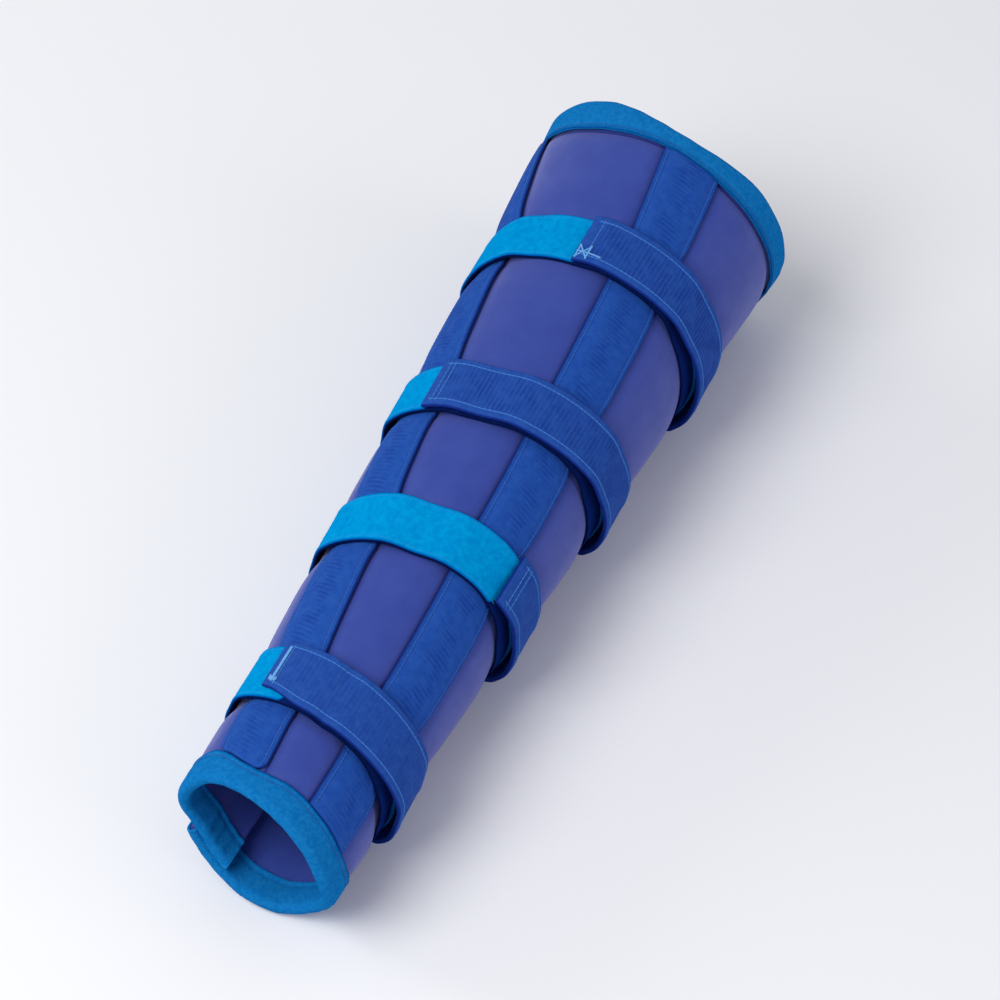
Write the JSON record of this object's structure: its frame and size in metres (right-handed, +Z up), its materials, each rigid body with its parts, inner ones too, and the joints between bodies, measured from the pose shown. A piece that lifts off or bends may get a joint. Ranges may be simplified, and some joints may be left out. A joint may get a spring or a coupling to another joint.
{
  "type": "arm splint",
  "caption": "Tapered wrap-round arm splint: a foam-laminate sleeve open at both ends, with bound rims, webbing stay pockets and hook-and-loop straps.",
  "frame": {"origin": "middle of the footprint, on the surface that the splint rests on", "axes": "+X along the sleeve from the wrist to the shoulder end, +Z up from the surface"},
  "size_m": [0.398, 0.1186, 0.1169],
  "materials": {
    "panel_fabric": "smooth violet-blue brushed knit over foam",
    "binding_knit": "light blue ribbed knit",
    "pocket_webbing": "mid blue webbing with crosswise ribs",
    "loop_velour": "bright cyan loop velour",
    "hook_webbing": "dark blue ribbed webbing, stitched along its edges"
  },
  "bodies": {
    "root": {"sleeve": "panel_fabric", "wrist_binding": "binding_knit", "shoulder_binding": "binding_knit", "front_stay_pocket": "pocket_webbing", "side_stay_pocket": "pocket_webbing", "strap_1_loop": "loop_velour", "strap_1_hook": "hook_webbing", "strap_2_loop": "loop_velour", "strap_2_hook": "hook_webbing", "strap_3_loop": "loop_velour", "strap_3_hook": "hook_webbing", "strap_4_loop": "loop_velour", "strap_4_hook": "hook_webbing"}
  },
  "joints": []
}
